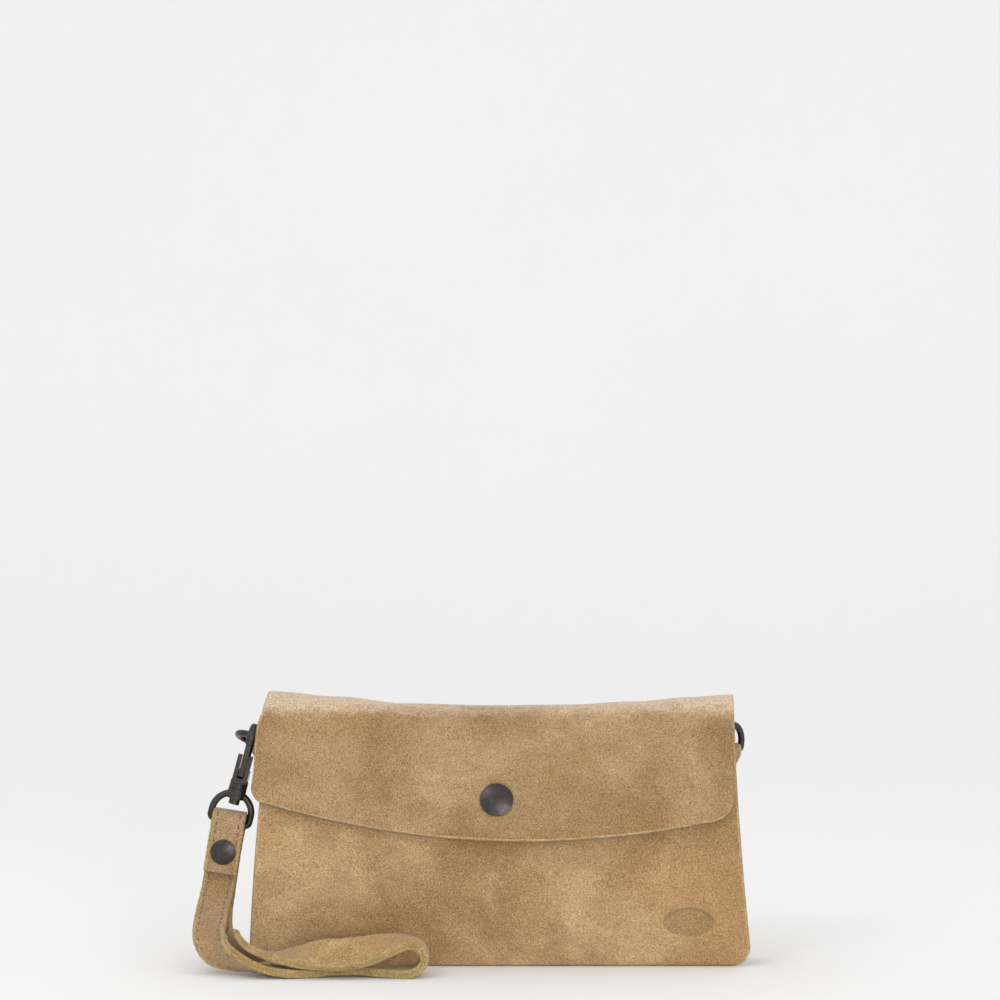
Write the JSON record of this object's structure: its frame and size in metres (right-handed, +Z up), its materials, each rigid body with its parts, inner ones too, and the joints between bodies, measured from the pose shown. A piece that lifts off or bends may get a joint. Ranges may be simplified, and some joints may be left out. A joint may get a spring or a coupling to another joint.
{
  "type": "wristlet wallet",
  "caption": "Suede flap wristlet wallet with a snap closure, zipped inner pocket, side D-rings and a looped wrist strap on a swivel snap hook.",
  "frame": {"origin": "middle of the pouch's flat base, on the surface it stands on", "axes": "+X to the right along the pouch's length, -Y out of the flap's front, +Z up"},
  "size_m": [0.2452, 0.0626, 0.1189],
  "materials": {
    "suede": "napped suede, tan",
    "strap_suede": "napped suede, tan, raw edges",
    "lining": "plain woven lining",
    "zip_tape": "woven zip tape",
    "zip_metal": "dark antique finish",
    "gunmetal": "dark gunmetal, lightly worn",
    "snap_steel": "dark steel"
  },
  "bodies": {
    "pouch": {"back_panel": "suede", "front_panel": "suede", "gusset_left": "suede", "gusset_right": "suede", "front_lining": "lining", "back_lining": "lining", "pocket_wall_front": "lining", "pocket_wall_rear": "lining", "card_slot_rear": "lining", "card_slot_front": "lining", "zip_tape_front": "zip_tape", "zip_tape_rear": "zip_tape", "zip_coil_front": "zip_metal", "zip_coil_rear": "zip_metal", "zip_end_stops": "zip_metal", "flap_fold": "suede", "snap_stud": "snap_steel", "snap_post": "snap_steel", "ring_tab_left": "suede", "ring_tab_right": "suede"},
    "flap": {"flap": "suede", "snap_cap": "gunmetal", "snap_socket": "snap_steel"},
    "left_ring": {"left_d_ring": "gunmetal"},
    "right_ring": {"right_d_ring": "gunmetal"},
    "hook": {"hook_body": "gunmetal", "gate_pin": "gunmetal", "gate_spring": "snap_steel", "swivel_rivet": "gunmetal"},
    "gate": {"hook_gate": "gunmetal"},
    "eye": {"swivel_eye": "gunmetal"},
    "strap": {"strap_outer_layer": "strap_suede", "strap_inner_layer": "strap_suede", "strap_fold": "strap_suede", "strap_snap_stud": "snap_steel", "strap_snap_post": "snap_steel"},
    "strap_tab": {"strap_tab": "strap_suede", "tab_snap_cap": "gunmetal", "tab_snap_socket": "snap_steel"},
    "zip_slider": {"zip_slider": "zip_metal"},
    "zip_pull": {"zip_pull": "zip_metal"}
  },
  "joints": [
    {"name": "flap_hinge", "type": "hinge", "parent": "pouch", "child": "flap", "pos_m": [0, 0.003, 0.1085], "axis": [-1, 0, 0], "range_deg": [0, 150], "deforming": ["flap_fold"]},
    {"name": "right_ring_hinge", "type": "hinge", "parent": "pouch", "child": "right_ring", "pos_m": [0.1023, 0.0045, 0.094], "axis": [0.6691, 0.7431, 0], "range_deg": [0, 100]},
    {"name": "left_ring_hinge", "type": "hinge", "parent": "pouch", "child": "left_ring", "pos_m": [-0.1066, 0.0045, 0.0975], "axis": [-0.6691, 0.7431, 0], "range_deg": [0, 30]},
    {"name": "hook_hinge", "type": "hinge", "parent": "left_ring", "child": "hook", "pos_m": [-0.1103, -0.0054, 0.1021], "axis": [-0.9659, 0, 0.2588], "range_deg": [0, 40]},
    {"name": "hook_swivel", "type": "hinge", "parent": "hook", "child": "eye", "pos_m": [-0.11669, -0.0054, 0.07824], "axis": [-0.2588, 0, -0.9659], "range_deg": [0, 180]},
    {"name": "gate_pivot", "type": "hinge", "parent": "hook", "child": "gate", "pos_m": [-0.11449, -0.0095, 0.08645], "axis": [-0.9659, 0, 0.2588], "range_deg": [0, 18], "stiffness_Nm_per_rad": 0.02, "deforming": ["gate_spring"]},
    {"name": "strap_hinge", "type": "hinge", "parent": "eye", "child": "strap", "pos_m": [-0.12068, -0.0054, 0.06337], "axis": [-0.9659, 0, 0.2588], "range_deg": [0, 30]},
    {"name": "strap_tab_hinge", "type": "hinge", "parent": "strap", "child": "strap_tab", "pos_m": [-0.12068, -0.00915, 0.06337], "axis": [-0.9877, 0, 0.1564], "range_deg": [0, 80]},
    {"name": "zip_slide", "type": "slide", "parent": "pouch", "child": "zip_slider", "axis": [-1, 0, 0], "range_m": [0, 0.15]},
    {"name": "zip_pull_hinge", "type": "hinge", "parent": "zip_slider", "child": "zip_pull", "pos_m": [0.082, 0.0013, 0.0839], "axis": [0, 1, 0], "range_deg": [0, 100]}
  ]
}
